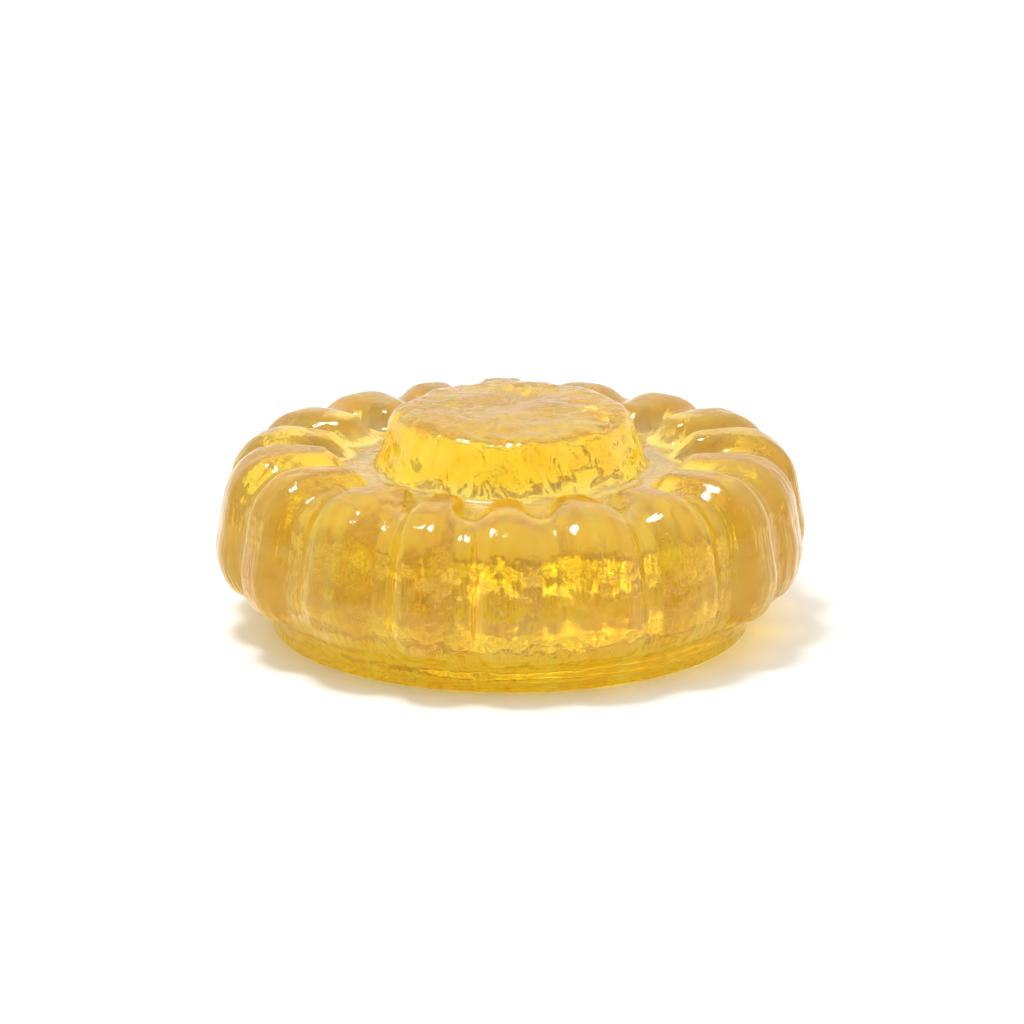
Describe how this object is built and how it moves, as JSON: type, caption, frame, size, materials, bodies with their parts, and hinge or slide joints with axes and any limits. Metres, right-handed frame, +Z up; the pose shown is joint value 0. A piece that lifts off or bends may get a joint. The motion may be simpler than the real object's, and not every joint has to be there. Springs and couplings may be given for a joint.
{
  "type": "honey mint pastille",
  "caption": "Squat round pastille of clear honey-yellow boiled sugar with a fluted side, petals on its face and a raised flat boss in the middle.",
  "frame": {"origin": "centre of the flat base, at the bottom of the bounding box", "axes": "+Z up out of the face with the raised boss; X and Y lie in the base, and the drum looks much the same all round"},
  "size_m": [0.022, 0.0218, 0.0083],
  "materials": {
    "boiled_sugar": "clear honey-yellow boiled sugar, moulded, glossy with fine wrinkles"
  },
  "bodies": {
    "root": {"pastille": "boiled_sugar"}
  },
  "joints": []
}
